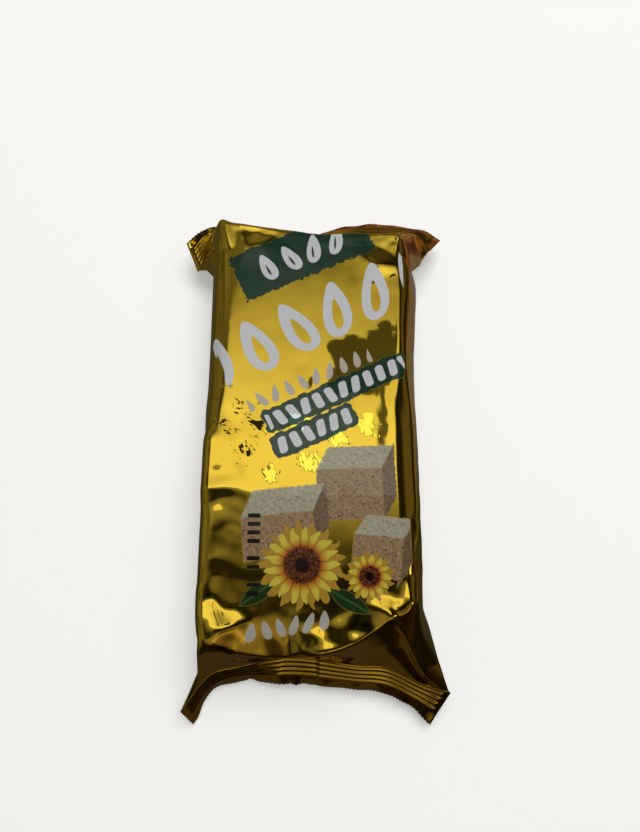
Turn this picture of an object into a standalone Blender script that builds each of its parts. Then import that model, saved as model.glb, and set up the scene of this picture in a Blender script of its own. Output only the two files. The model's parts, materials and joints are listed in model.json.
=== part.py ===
"""A block of halva in a shut flow-wrap pack: one tube of film round a brick, sealed flat at both ends.

The solid is a tube whose every row of points runs once round the film. Film places are (across, along):
across runs from the middle of the top, over the right side, to the middle of the underside and back up
the left side, and along runs from the near cut edge to the far one. The row frame has its origin on the
table under the middle of the block, +Y along the pack and +Z up.
"""

import math

import bmesh
import bpy
from mathutils import Vector

MM = 0.001

# The block and the film round it, in millimetres.
BLOCK_LENGTH = 150.0
PACK_WIDTH = 77.8
PACK_HEIGHT = 31.0
TOP_EDGE_RADIUS = 7.0
FOOT_EDGE_RADIUS = 4.0
SEAL_THICKNESS = 0.8

# The back seam: the film's long edges are sealed together and folded flat under the block.
SEAM_LEFT, SEAM_RIGHT = -10.5, 4.0
SEAM_PROUD = 0.4

# How finely the film is divided.
POINTS_AROUND = 88
FIN_ROWS = 3
GUSSET_ROWS = 9
BODY_ROWS = 12

# Half of the film's girth, from the middle of the top round to the middle of the underside.
QUARTER_TURN = math.pi / 2
SIDE_RISE = PACK_HEIGHT - TOP_EDGE_RADIUS - FOOT_EDGE_RADIUS
HALF_GIRTH = (
    PACK_WIDTH
    - TOP_EDGE_RADIUS
    - FOOT_EDGE_RADIUS
    + QUARTER_TURN * (TOP_EDGE_RADIUS + FOOT_EDGE_RADIUS)
    + SIDE_RISE
)
EAR = HALF_GIRTH / 2

# Each end seal as stations from its left ear to its right one: the place across the flat film as a share
# of the ear's, then the point where the gusset meets the seal, then the point on the zigzag cut edge.
NEAR_SEAL = (
    (-1.00, (-44.4, -100.6, 12.0), (-41.1, -105.9, 1.5)),
    (-0.68, (-34.5, -88.8, 14.0), (-35.5, -95.1, 3.0)),
    (-0.45, (-24.1, -86.0, 14.5), (-25.2, -91.1, 3.0)),
    (-0.19, (-10.1, -83.1, 15.0), (-10.3, -92.4, 7.0)),
    (0.00, (-0.8, -83.4, 15.0), (-0.9, -92.6, 7.0)),
    (0.30, (15.3, -85.7, 15.0), (14.5, -93.9, 7.0)),
    (0.54, (26.8, -86.5, 14.5), (25.8, -95.2, 7.0)),
    (0.79, (39.2, -92.0, 12.0), (34.5, -99.2, 6.0)),
    (1.00, (48.6, -94.7, 9.0), (41.5, -105.5, 4.0)),
)
FAR_SEAL = (
    (-1.00, (-47.4, 68.7, 10.0), (-51.9, 79.4, 15.0)),
    (-0.85, (-43.8, 77.9, 12.0), (-46.1, 85.9, 14.0)),
    (-0.69, (-38.0, 84.5, 15.0), (-39.6, 90.5, 10.0)),
    (-0.45, (-24.6, 83.5, 15.0), (-25.1, 89.0, 5.0)),
    (0.00, (-0.7, 82.5, 15.0), (-0.2, 88.5, 6.0)),
    (0.30, (15.3, 83.5, 15.0), (16.2, 92.1, 8.0)),
    (0.54, (28.4, 84.0, 15.0), (28.9, 92.5, 8.0)),
    (0.80, (42.4, 83.5, 15.0), (44.9, 90.5, 8.0)),
    (1.00, (49.2, 76.7, 14.0), (54.6, 85.1, 8.0)),
)

# How far short of the block's end the film leaves its side, at each corner.
LIFT_OFF = {"near left": 3.0, "near right": 12.0, "far left": 12.0, "far right": 9.0}
LIFT_OFF_REACH = 24.0

# Where the film stands away from the plain form: place across and along, reach across and along, push.
SWELLINGS = (
    (-8.0, -80.0, 26.0, 9.0, (0.0, -2.6, 3.0)),
    (24.0, -74.0, 18.0, 9.0, (0.0, 1.5, 1.5)),
    (37.0, -78.0, 10.0, 14.0, (-1.5, 1.0, -5.0)),
    (EAR, -80.0, 18.0, 16.0, (1.2, 0.0, 0.0)),
    (-EAR, -86.0, 18.0, 13.0, (2.4, 0.0, 0.0)),
    (-35.0, 76.0, 13.0, 12.0, (0.0, 5.0, 2.5)),
    (-16.0, 76.0, 24.0, 9.0, (0.0, 1.5, 2.0)),
    (EAR, 54.0, 24.0, 34.0, (2.4, 0.0, 0.0)),
)

FILM_GOLD = (0.62, 0.42, 0.04, 1.0)


def clear_scene():
    for obj in list(bpy.data.objects):
        bpy.data.objects.remove(obj)


def smooth_step(share):
    share = min(1.0, max(0.0, share))
    return share * share * (3.0 - 2.0 * share)


def section(across):
    """The body's outline at a place across the film: a wide brick with rounded long edges."""
    left = across < 0.0
    rest = abs(across)
    half_width = PACK_WIDTH / 2
    top_run = half_width - TOP_EDGE_RADIUS
    foot_run = half_width - FOOT_EDGE_RADIUS
    if rest <= top_run:
        x, z = rest, PACK_HEIGHT
    elif (rest := rest - top_run) <= QUARTER_TURN * TOP_EDGE_RADIUS:
        turn = rest / TOP_EDGE_RADIUS
        x = top_run + TOP_EDGE_RADIUS * math.sin(turn)
        z = PACK_HEIGHT - TOP_EDGE_RADIUS * (1.0 - math.cos(turn))
    elif (rest := rest - QUARTER_TURN * TOP_EDGE_RADIUS) <= SIDE_RISE:
        x, z = half_width, PACK_HEIGHT - TOP_EDGE_RADIUS - rest
    elif (rest := rest - SIDE_RISE) <= QUARTER_TURN * FOOT_EDGE_RADIUS:
        turn = rest / FOOT_EDGE_RADIUS
        x = foot_run + FOOT_EDGE_RADIUS * math.cos(turn)
        z = FOOT_EDGE_RADIUS * (1.0 - math.sin(turn))
    else:
        x, z = foot_run - (rest - QUARTER_TURN * FOOT_EDGE_RADIUS), 0.0
    return (-x if left else x), z


def underside_height(x):
    """The film lies a little off the table beside the back seam's fold."""
    outside = max(SEAM_LEFT - x, x - SEAM_RIGHT, 0.0)
    return SEAM_PROUD * smooth_step(outside / 1.5)


def body_point(across, along):
    x, z = section(across)
    return Vector((x, along, max(z, underside_height(x))))


def body_end(across, end):
    """How far along the film still lies on the block: it leaves the sides first."""
    side = "left" if across < 0.0 else "right"
    from_ear = abs(abs(across) - EAR) / LIFT_OFF_REACH
    short = LIFT_OFF[end + " " + side] * smooth_step(1.0 - from_ear)
    return (BLOCK_LENGTH / 2 - short) * (-1.0 if end == "near" else 1.0)


def along_stations(seal, place, column):
    """The seal's own curve through its stations, as a cubic from station to station."""
    last = len(seal) - 1
    span = next((i for i in range(last) if place <= seal[i + 1][0]), last - 1)

    def slope(i):
        before, after = seal[max(i - 1, 0)], seal[min(i + 1, last)]
        return (Vector(after[column]) - Vector(before[column])) / (after[0] - before[0])

    start, end = seal[span], seal[span + 1]
    step = end[0] - start[0]
    t = (place - start[0]) / step
    return (
        Vector(start[column]) * (2 * t**3 - 3 * t**2 + 1)
        + slope(span) * (step * (t**3 - 2 * t**2 + t))
        + Vector(end[column]) * (3 * t**2 - 2 * t**3)
        + slope(span + 1) * (step * (t**3 - t**2))
    )


def seal_point(seal, across, share):
    """A point on the seal: share 0 is where the gusset meets it, 1 the cut edge. Top and underside film
    lie half the seal's thickness either side of its middle, and meet at the ears."""
    on_top = abs(across) <= EAR
    flat = across if on_top else math.copysign(HALF_GIRTH - abs(across), across)
    place = max(-1.0, min(1.0, flat / EAR))
    inner = along_stations(seal, place, 1)
    outer = along_stations(seal, place, 2)
    beside = along_stations(seal, place + 0.01, 1) - along_stations(seal, place - 0.01, 1)
    normal = beside.cross(outer - inner).normalized()
    if seal is NEAR_SEAL:
        normal = -normal
    taper = 1.0 - abs(place) ** 12
    lift = SEAL_THICKNESS / 2 * taper * (1.0 if on_top else -1.0)
    return inner.lerp(outer, share) + normal * lift


def swell(point, across, along):
    """Adds the named swellings, each a smooth hump on the film."""
    for at_across, at_along, reach_across, reach_along, push in SWELLINGS:
        away = math.hypot((across - at_across) / reach_across, (along - at_along) / reach_along)
        if away < 1.0:
            point = point + Vector(push) * smooth_step(1.0 - away)
    return point


def film_point(across, row):
    """The film's place in the row frame, in millimetres."""
    rows = 2 * (FIN_ROWS + GUSSET_ROWS) + BODY_ROWS
    near = row <= rows // 2
    seal = NEAR_SEAL if near else FAR_SEAL
    near_end, far_end = body_end(across, "near"), body_end(across, "far")
    end = near_end if near else far_end
    from_edge = row if near else rows - row
    if from_edge <= FIN_ROWS:
        return seal_point(seal, across, 1.0 - from_edge / FIN_ROWS)
    if from_edge <= FIN_ROWS + GUSSET_ROWS:
        share = 1.0 - (from_edge - FIN_ROWS) / GUSSET_ROWS
        foot = body_point(across, end)
        point = foot.lerp(seal_point(seal, across, 0.0), share)
        return swell(point, across, point.y)
    along = near_end + (far_end - near_end) * (row - FIN_ROWS - GUSSET_ROWS) / BODY_ROWS
    return swell(body_point(across, along), across, along)


def film_tube():
    """A straight tube with one ring of points for each row of film, shaped into the pack."""
    rows = 2 * (FIN_ROWS + GUSSET_ROWS) + BODY_ROWS
    shape = bmesh.new()
    bmesh.ops.create_cone(
        shape, cap_ends=False, segments=POINTS_AROUND, radius1=1.0, radius2=1.0, depth=1.0
    )
    long_edges = [e for e in shape.edges if abs(e.verts[0].co.z - e.verts[1].co.z) > 0.5]
    bmesh.ops.subdivide_edges(shape, edges=long_edges, cuts=rows - 1, use_grid_fill=True)
    rings = [[None] * POINTS_AROUND for _ in range(rows + 1)]
    for vert in shape.verts:
        turn = math.atan2(vert.co.x, vert.co.y) / (2 * math.pi)
        rings[round((vert.co.z + 0.5) * rows)][round(turn * POINTS_AROUND) % POINTS_AROUND] = vert
    for row, ring in enumerate(rings):
        for step, vert in enumerate(ring):
            share = step / POINTS_AROUND
            across = 2 * HALF_GIRTH * (share if share <= 0.5 else share - 1.0)
            vert.co = film_point(across, row) * MM
    close_edge(shape, rings[0])
    close_edge(shape, rings[-1])
    bmesh.ops.recalc_face_normals(shape, faces=shape.faces)
    return shape


def close_edge(shape, ring):
    """Joins the top film to the underside film along a cut edge, pair by pair."""
    quarter = POINTS_AROUND // 4
    for step in range(-quarter, quarter):
        top = ring[step % POINTS_AROUND], ring[(step + 1) % POINTS_AROUND]
        under = ring[(2 * quarter - step) % POINTS_AROUND], ring[(2 * quarter - step - 1) % POINTS_AROUND]
        corners = [top[0], top[1], under[1], under[0]]
        shape.faces.new(list(dict.fromkeys(corners)))


def film_material():
    material = bpy.data.materials.new("gold_film")
    material.use_nodes = True
    shader = material.node_tree.nodes["Principled BSDF"]
    shader.inputs["Base Color"].default_value = FILM_GOLD
    shader.inputs["Metallic"].default_value = 1.0
    shader.inputs["Roughness"].default_value = 0.25
    return material


def build_pack():
    shape = film_tube()
    mesh = bpy.data.meshes.new("halva_pack")
    shape.to_mesh(mesh)
    shape.free()
    mesh.materials.append(film_material())
    mesh.shade_smooth()
    mesh.set_sharp_from_angle(angle=math.radians(35))
    pack = bpy.data.objects.new("halva_pack", mesh)
    bpy.context.scene.collection.objects.link(pack)


clear_scene()
build_pack()
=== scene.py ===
"""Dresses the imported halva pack: a printed, metallised flow wrap round a brick of halva, lying face up.

The film is one fine tube. A place on it is (across, along) in millimetres: across runs from the middle of
the underside round the left side, over the top at 0 and round the right side back to the middle of the
underside, and along runs from the near cut edge to the far one. The same two numbers are its UV map, in
metres, and the print is drawn from them.
"""

import math

import bmesh
import bpy
import numpy as np
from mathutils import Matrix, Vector, geometry, noise
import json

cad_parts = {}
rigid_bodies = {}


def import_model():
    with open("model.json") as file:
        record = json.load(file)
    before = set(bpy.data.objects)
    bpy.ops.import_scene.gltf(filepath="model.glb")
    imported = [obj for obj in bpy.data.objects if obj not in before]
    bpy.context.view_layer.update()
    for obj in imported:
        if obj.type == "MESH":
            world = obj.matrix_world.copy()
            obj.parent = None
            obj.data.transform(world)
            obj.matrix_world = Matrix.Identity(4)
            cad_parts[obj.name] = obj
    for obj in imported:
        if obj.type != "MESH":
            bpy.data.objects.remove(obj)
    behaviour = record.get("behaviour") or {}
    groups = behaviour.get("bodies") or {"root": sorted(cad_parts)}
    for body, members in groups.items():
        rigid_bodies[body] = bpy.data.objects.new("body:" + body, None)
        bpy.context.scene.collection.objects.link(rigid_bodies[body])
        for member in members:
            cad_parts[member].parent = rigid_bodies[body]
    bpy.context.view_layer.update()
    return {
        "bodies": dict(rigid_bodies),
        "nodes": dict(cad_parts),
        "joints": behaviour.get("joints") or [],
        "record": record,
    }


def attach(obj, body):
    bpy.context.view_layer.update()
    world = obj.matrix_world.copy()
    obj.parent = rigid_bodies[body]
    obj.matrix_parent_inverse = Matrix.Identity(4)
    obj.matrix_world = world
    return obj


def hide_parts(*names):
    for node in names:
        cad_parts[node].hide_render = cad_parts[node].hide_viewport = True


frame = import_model()

MM = 0.001

# The brick inside and the film round it.
BLOCK_LENGTH = 150.0
PACK_WIDTH = 77.8
PACK_HEIGHT = 31.0
TOP_EDGE_RADIUS = 7.0
FOOT_EDGE_RADIUS = 4.0
QUARTER_TURN = math.pi / 2
SIDE_RISE = PACK_HEIGHT - TOP_EDGE_RADIUS - FOOT_EDGE_RADIUS
HALF_GIRTH = (
    PACK_WIDTH
    - TOP_EDGE_RADIUS
    - FOOT_EDGE_RADIUS
    + QUARTER_TURN * (TOP_EDGE_RADIUS + FOOT_EDGE_RADIUS)
    + SIDE_RISE
)
EAR = HALF_GIRTH / 2
FILM_GAP = 0.16
FLOOR_GAP = 0.34

# Film from the block's end to the seal, then the seal's crimped band and its plain margin.
GUSSET_FILM = 21.0
CRIMPED_BAND = 8.0
SEAL_HEIGHT = 12.5
CRIMP_PITCH = 2.0
CRIMP_DEPTH = 0.34
TOOTH_DEPTH = 0.35
RUFFLE_HEIGHT = 0.3
SEAM_STEP = 0.32

# The back seam, folded flat to the left under the block.
SEAM_LEFT, SEAM_RIGHT = -10.5, 4.0
SEAM_LAYERS = 0.12
SEAM_RIDGE = 0.05
SEAM_RIDGE_PITCH = 1.6
SEAM_COLUMNS = 56

# How finely the film is divided.
COLUMNS = 280
MARGIN_ROWS = 8
CRIMP_ROWS = 40
DROP_ROWS = 24
RISE_ROWS = 20
BODY_ROWS = 144

# The end seals and the crests of the film above them, from the left ear to the right one. Each station is
# the place across as a share of the ear's, then a point. The inner line is where the gusset meets the
# seal, and the outer one is the toothed cut edge.
NEAR_INNER = (
    (-1.00, (-44.4, -100.6, 12)),
    (-0.68, (-34.5, -88.8, 14)),
    (-0.45, (-24.1, -86, 14.5)),
    (-0.19, (-10, -83.1, 15)),
    (0.00, (-0.7, -83.4, 15)),
    (0.30, (15.4, -85.7, 15)),
    (0.54, (26.8, -86.5, 14.5)),
    (0.79, (39.3, -92, 12)),
    (1.00, (48.6, -94.7, 10.2)),
)
NEAR_OUTER = (
    (-1.00, (-41.1, -105.9, 1.5)),
    (-0.68, (-35.5, -95.1, 3)),
    (-0.45, (-25.2, -91.1, 3)),
    (-0.19, (-10.3, -92.4, 7)),
    (0.00, (-0.8, -92.6, 7)),
    (0.30, (14.6, -93.9, 7)),
    (0.54, (25.8, -95.2, 7)),
    (0.79, (34.5, -99.2, 6)),
    (1.00, (41.5, -105.5, 5.2)),
)
NEAR_CREST = (
    (-1.00, (-38.9, -87, 14)),
    (-0.84, (-37.4, -84.5, 21)),
    (-0.72, (-35.4, -81.5, 28.8)),
    (-0.48, (-24.9, -81.6, 31)),
    (-0.27, (-12.8, -83.1, 31)),
    (-0.10, (-5.5, -82.6, 31)),
    (0.07, (3.4, -81.9, 31)),
    (0.25, (13.1, -79.4, 31)),
    (0.33, (17.5, -77.3, 31)),
    (0.43, (23, -73.7, 31)),
    (0.52, (27.2, -70.9, 31)),
    (0.60, (30.5, -75, 28.6)),
    (0.70, (34, -80, 24.4)),
    (0.83, (40, -86.5, 17)),
    (1.00, (46.8, -90.2, 12)),
)
FAR_INNER = (
    (-1.00, (-47.4, 68.7, 10)),
    (-0.85, (-43.7, 77.9, 12)),
    (-0.69, (-38, 84.5, 15)),
    (-0.45, (-24.6, 83.5, 15)),
    (0.00, (-0.6, 82.5, 15)),
    (0.30, (15.4, 83.5, 15)),
    (0.54, (28.4, 84, 15)),
    (0.80, (42.4, 83.5, 15)),
    (1.00, (49.3, 76.7, 14)),
)
FAR_OUTER = (
    (-1.00, (-51.9, 79.4, 15)),
    (-0.85, (-46.1, 85.9, 14)),
    (-0.69, (-39.6, 90.5, 10)),
    (-0.45, (-25.1, 89, 5)),
    (0.00, (-0.1, 88.5, 6)),
    (0.30, (16.2, 92.1, 8)),
    (0.54, (28.9, 92.5, 8)),
    (0.80, (44.9, 90.5, 8)),
    (1.00, (54.6, 85.1, 8)),
)
FAR_CREST = (
    (-1.00, (-43.2, 66.5, 14)),
    (-0.84, (-40.6, 74.5, 23.5)),
    (-0.71, (-36.1, 81.4, 30)),
    (-0.62, (-31, 79.6, 31)),
    (-0.50, (-26, 78.4, 31)),
    (-0.31, (-16.2, 76.8, 31)),
    (0.06, (3.4, 73.9, 31)),
    (0.35, (18.2, 74.2, 31)),
    (0.62, (32.3, 74, 31)),
    (0.70, (35.2, 71.9, 30.6)),
    (0.85, (40.5, 68.5, 23)),
    (1.00, (42.8, 68, 16)),
)

# How far along the film lies on the block before it lifts off, at the top and at each side's ear.
TOP_FOOT = 66.0
SIDE_FOOT = {("near", "left"): 72.0, ("near", "right"): 63.0, ("far", "left"): 63.0, ("far", "right"): 66.0}

# The folds of the printed face, seen from above: x, y and how far the film stands over the block there.
FACE_FOLDS = (
    # Level lines that keep the folds apart.
    ((-39, -55, 0.1), (-28, -56, 0.1), (-12, -58, 0.1), (2, -60, 0.1), (14, -58, 0)),
    ((14, -58, 0), (26, -51, 0), (33, -50, 0)),
    ((-12, 58, 0), (-12, 20, 0), (-12, -20, 0), (-12, -50, 0)),
    ((18, 50, 0), (18, 20, 0), (18, -20, 0), (18, -50, 0)),
    # The dip across the near end, and the hump over it.
    ((-39, -64.5, -0.9), (-32.2, -63.6, -1.1), (-25, -67, -1.1), (-18.9, -70.6, -1.1), (-12, -70.5, -0.9)),
    ((-12, -70.5, -0.9), (-5.6, -70, -0.8), (0.4, -71, -0.75), (9, -69, -0.6), (16.5, -65.5, -0.35)),
    ((16.5, -65.5, -0.35), (22.3, -63.2, -0.2)),
    ((-38, -79, 0.6), (-33.5, -78.2, 0.7), (-30.1, -74.7, 0.4), (-24, -72.5, -0.5), (-18.9, -70.6, -1.1)),
    ((-32.2, -63.6, -1.1), (-31.4, -68, -0.5), (-30.1, -74.7, 0.4)),
    ((-31.2, -64.6, -1.2), (-29.6, -68.5, -1.1), (-29, -73.2, -0.1)),
    ((-33.5, -78.2, 0.7), (-32, -83, -2), (-24.9, -81.2, -3.4)),
    ((-24.9, -81.2, -3.4), (-21, -77.6, -2.6), (-13.5, -76.5, -2), (-10, -77.6, -2), (-5.7, -82.5, -3.3)),
    ((-24.9, -81.2, -3.4), (-12.8, -83, -3.8), (-5.7, -82.5, -3.3), (3.4, -82.3, 0.4)),
    ((-5.6, -70, -0.8), (-6.8, -76.9, -2), (-5.7, -82.5, -3.3)),
    ((-5.6, -70, -0.8), (-3.6, -75, -0.3), (-3.4, -82, -1)),
    ((0.4, -71, -0.75), (3, -76.6, 0.1), (3.4, -82.3, 0.6)),
    ((3.6, -71, -0.75), (5.8, -76, -0.35), (6.4, -82, 0.1)),
    ((9, -69, -0.6), (7.6, -73.6, -0.4), (10.2, -79.6, 0.15), (14.8, -79.1, 0.45), (11.5, -74.2, -0.15)),
    ((7.6, -73.6, -0.4), (11.5, -74.2, -0.15)),
    ((14.8, -79.1, 0.45), (22.4, -74.9, -0.6), (26.2, -73.2, -0.3)),
    ((22.3, -63.2, -0.2), (24.5, -68.1, 0.4), (27.4, -70.2, 0.6), (28.5, -65.9, -0.1), (22.3, -63.2, -0.2)),
    ((27.4, -70.2, 0.6), (26.2, -73.2, -0.3)),
    ((29.1, -58.1, -0.6), (29.4, -64.5, -0.5), (31.4, -68.4, 0.5), (34.4, -67.8, 0.6), (33.4, -57.4, -0.6)),
    ((33.4, -57.4, -0.6), (29.1, -58.1, -0.6)),
    # Pulls and crumples down the left of the face.
    ((-38, -4, 0.1), (-36.6, -8.6, 0.3), (-38, -12, 0.15), (-36.8, -17, 0.25), (-38, -22, 0.1)),
    ((-38, -22, 0.1), (-36.9, -27.6, 0.6), (-30.7, -27.3, 0.42), (-24.4, -28.2, 0.2), (-16, -30, 0)),
    ((-36.9, -29.6, 0.1), (-30.7, -29.3, 0.1), (-24.4, -30.2, 0.1), (-16, -31, 0)),
    ((-28.8, 4, 0), (-26.5, -5.9, -0.2), (-24.2, -16.8, -0.25), (-24, -21, 0)),
    ((-32, 2, 0), (-29.5, -8, 0.1), (-27.5, -18, 0.1), (-27, -22, 0)),
    ((-22.5, 2, 0), (-22.5, -18, 0)),
    ((-35.2, -41.4, 0.05), (-30.2, -38, 0.1), (-25.6, -41.4, 0.03), (-21, -38, 0.06)),
    ((-30.2, -38, 0.1), (-31.2, -46.5, -0.06), (-26.4, -47.5, 0.08), (-25.6, -41.4, 0.03)),
    ((-35.4, -51.5, 0.1), (-31.2, -46.5, -0.06)),
    ((-31.1, -54, -0.06), (-29.3, -51.2, 0.13), (-24.8, -53.5, 0.1), (-18, -51, 0.05)),
    # The far end.
    ((15.7, 68, -0.1), (20.7, 64.1, 0.3), (25.6, 60.2, 0.9), (28.4, 63.2, 0.2), (31.8, 63.2, -0.1)),
    ((20.7, 64.1, 0.3), (25.8, 68.4, -0.5), (28.4, 63.2, 0.2)),
    ((25.8, 68.4, -0.5), (34.8, 72.4, 0.5), (31.8, 63.2, -0.1), (35.9, 58, 0)),
    ((25.6, 60.2, 0.9), (22, 53, 0.1)),
    ((-31, 76.4, -0.3), (-26, 78.6, 0.15), (-22, 75.5, -0.3), (-20.7, 69.8, 0.2), (-18.4, 72.9, -0.2)),
    ((-18.4, 72.9, -0.2), (-16.9, 75.7, 0.2), (-13.8, 73.7, -0.1), (-6, 72, 0.1)),
    ((-35, 76, 0.3), (-30.7, 66.7, -0.35), (-29.3, 61.5, -0.3), (-30.5, 49.5, -0.15), (-30, 37, 0)),
    ((-30.7, 66.7, -0.35), (-24, 69, 0.1)),
)
FACE_BORDER = (46.0, 92.0)

# The folds of the near gusset: place across, share of the way from crest to seal, and how far they stand out.
NEAR_GUSSET_FOLDS = (
    ((-33, 0, 0), (-31, 0.45, 0.9), (-34, 1, 0)),
    ((-24.9, 0, 0), (-23.5, 0.55, 1.1), (-20, 1, 0)),
    ((-31, 0.45, 0.9), (-27, 0.7, -0.5), (-23.5, 0.55, 1.1)),
    ((28.5, 0, 0), (34, 0.3, 1), (41, 0.78, 0.9), (46, 1, 0)),
    ((21, 0.15, 0), (26, 0.55, -0.6), (35, 0.9, -0.2)),
    ((26, 0.55, -0.6), (34, 0.3, 1)),
    ((35.5, 0, 0), (39, 0.35, -0.8), (46, 0.7, -0.5)),
    ((10, 0.35, -0.5), (-3, 0.4, -0.3)),
)
GUSSET_BORDER = (52.0, 1.0)

# Where the near seal's margin curls up: place across, reach, and height at the cut edge.
NEAR_CURLS = ((-19.5, 2.5, 0.7), (-6.5, 2.5, 0.9), (-2.2, 3, 0.8), (15, 7, 0.6))

# The folds along the long edges: place across and along, and how far the film stands out.
SIDE_FOLDS = (
    # The right edge is creased sharply, and a flat panel falls away below it.
    ((31, 66, 0), (31, 20, 0), (30.4, 8, 0), (30.2, -20, 0), (31, -56, 0)),
    ((34.4, 62, 0.3), (34.4, 40, 0.35), (34.4, 18, 0), (34.4, -2, -0.8), (34.4, -30, -0.8)),
    ((34.4, -30, -0.8), (34.4, -54, 0.1)),
    ((38.6, 58, -1.2), (38.6, 20, -1), (38.6, -4, -0.2), (38.6, -30, -0.2), (38.6, -54, -0.6)),
    ((44.4, 58, 0.2), (44.4, 0, 0.1), (44.4, -54, 0.1)),
    # The left edge is worn round towards the far end.
    ((-26, 70, 0), (-26.8, 54, 0), (-29.2, 38, 0), (-30, 10, 0), (-31, -4, 0)),
    ((-30.4, 68, -0.5), (-31, 54, -0.45), (-32.2, 38, -0.35), (-33, 10, -0.3), (-33.2, -4, 0)),
    ((-35, 66, -1.4), (-35.2, 40, -1.3), (-35.6, 10, -0.9), (-35.2, -4, 0.1)),
    ((-39, 64, -1), (-39, 40, -1), (-39, 10, -0.8), (-38.4, -4, 0.2)),
    ((-45, 60, 0), (-45, 10, 0), (-45, -30, 0), (-45, -60, 0)),
    # Further on it is squarer, and squarest by the near corner.
    ((-31.5, -6, 0), (-31.5, -29, 0), (-31, -34, 0), (-31, -57, 0), (-32, -61, 0)),
    ((-34.2, -8, 0.5), (-34.2, -28, 0.55), (-34, -34, 0.35), (-34, -58, 0.3)),
    ((-36.6, -8, 1.7), (-36.6, -28, 2), (-36.6, -34, 1.4), (-36.6, -58, 1.2)),
    ((-39.2, -9, 0.8), (-39.2, -28, 1), (-39.2, -34, 0.5), (-39.2, -58, 0.4)),
    ((-42, -9, -0.6), (-42, -28, -0.6), (-42, -58, -0.2)),
    ((-47, -9, -0.6), (-47, -28, -0.6)),
    ((-33.5, -62, 0.3), (-33.5, -79, 0.35)),
    ((-36.4, -62, 1.7), (-36.4, -77, 1.9)),
    ((-39.2, -62, 1), (-39.2, -76, 1.1)),
    ((-42, -62, -1), (-42, -76, -1.4)),
    ((-47, -62, -1), (-47, -76, -1.4)),
    # The far right corner's small facets.
    ((35, 62, 0.3), (38.5, 58, 0.6), (40, 52, -0.4), (44, 47, 0.5)),
    ((38.5, 58, 0.6), (43, 61, -0.6), (48, 56, 0.8), (44, 47, 0.5)),
)
SIDE_BORDER = (60.0, 92.0)

# Where the film stands away from the sides: place across and along, reach across and along, push.
SWELLINGS = (
    (EAR, 54.0, 24.0, 34.0, (2.2, 0.0, 0.0)),
    (EAR, 10.0, 20.0, 22.0, (-0.5, 0.0, 0.0)),
    (-EAR, 20.0, 22.0, 50.0, (0.4, 0.0, 0.0)),
)

# Sizes of the film's smaller creases: how far apart they lie and how deep they are.
CRUMPLES = ((19.0, 0.5), (9.5, 0.24), (4.6, 0.09))
WAVE_SPACING = 11.0
WAVE_DEPTH = 0.035
CREASE_LEVEL, WAVE_LEVEL = 40.0, 300.0

# The film's surface: how clearly it mirrors, and how deep its finest creases are, in millimetres.
FILM_ROUGHNESS = 0.03
FINE_CREASE = 0.006

# How bright the mirrored window and lamp are.
WINDOW_STRENGTH = 1.15
LAMP_STRENGTH = 1.7


def smooth_step(share):
    share = np.clip(share, 0.0, 1.0)
    return share * share * (3.0 - 2.0 * share)


def blend(first, second, share):
    return first * (1.0 - share) + second * share


def smooth_through(stations, place):
    """A smooth curve through named stations, read at many places at once."""
    keys = np.array([station[0] for station in stations])
    points = np.array([station[1] for station in stations])
    slopes = np.empty_like(points)
    slopes[1:-1] = (points[2:] - points[:-2]) / (keys[2:] - keys[:-2])[:, None]
    slopes[0] = (points[1] - points[0]) / (keys[1] - keys[0])
    slopes[-1] = (points[-1] - points[-2]) / (keys[-1] - keys[-2])
    span = np.clip(np.searchsorted(keys, place, side="right") - 1, 0, len(keys) - 2)
    step = (keys[span + 1] - keys[span])[:, None]
    t = (place - keys[span])[:, None] / step
    return (
        points[span] * (2 * t**3 - 3 * t**2 + 1)
        + slopes[span] * step * (t**3 - 2 * t**2 + t)
        + points[span + 1] * (3 * t**2 - 2 * t**3)
        + slopes[span + 1] * step * (t**3 - t**2)
    )


def net_height(folds, border, x, y):
    """The height at (x, y) of a net of flat facets hung between fold lines and a level border."""
    corners = []
    edges = []
    lifts = []
    for line in folds:
        for step, (at_x, at_y, lift) in enumerate(line):
            if step:
                edges.append((len(corners) - 1, len(corners)))
            corners.append(Vector((at_x, at_y)))
            lifts.append(lift)
    wide, long = border
    for share in np.linspace(-1.0, 1.0, 9):
        corners += [Vector((wide * share, -long)), Vector((wide * share, long))]
        corners += [Vector((-wide, long * share)), Vector((wide, long * share))]
    lifts += [0.0] * (len(corners) - len(lifts))
    places, _, faces, origins, _, _ = geometry.delaunay_2d_cdt(corners, edges, [], 0, 1e-4)
    places = np.array([tuple(place) for place in places])
    heights = np.array([lifts[origin[0]] if origin else 0.0 for origin in origins])
    rise = np.zeros_like(x)
    for face in faces:
        a, b, c = places[face[0]], places[face[1]], places[face[2]]
        area = (b[0] - a[0]) * (c[1] - a[1]) - (c[0] - a[0]) * (b[1] - a[1])
        second = ((x - a[0]) * (c[1] - a[1]) - (c[0] - a[0]) * (y - a[1])) / area
        third = ((b[0] - a[0]) * (y - a[1]) - (x - a[0]) * (b[1] - a[1])) / area
        inside_face = (second >= -1e-6) & (third >= -1e-6) & (second + third <= 1.0 + 1e-6)
        low, mid, high = heights[face[0]], heights[face[1]], heights[face[2]]
        rise = np.where(inside_face, low * (1 - second - third) + mid * second + high * third, rise)
    return rise


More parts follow.
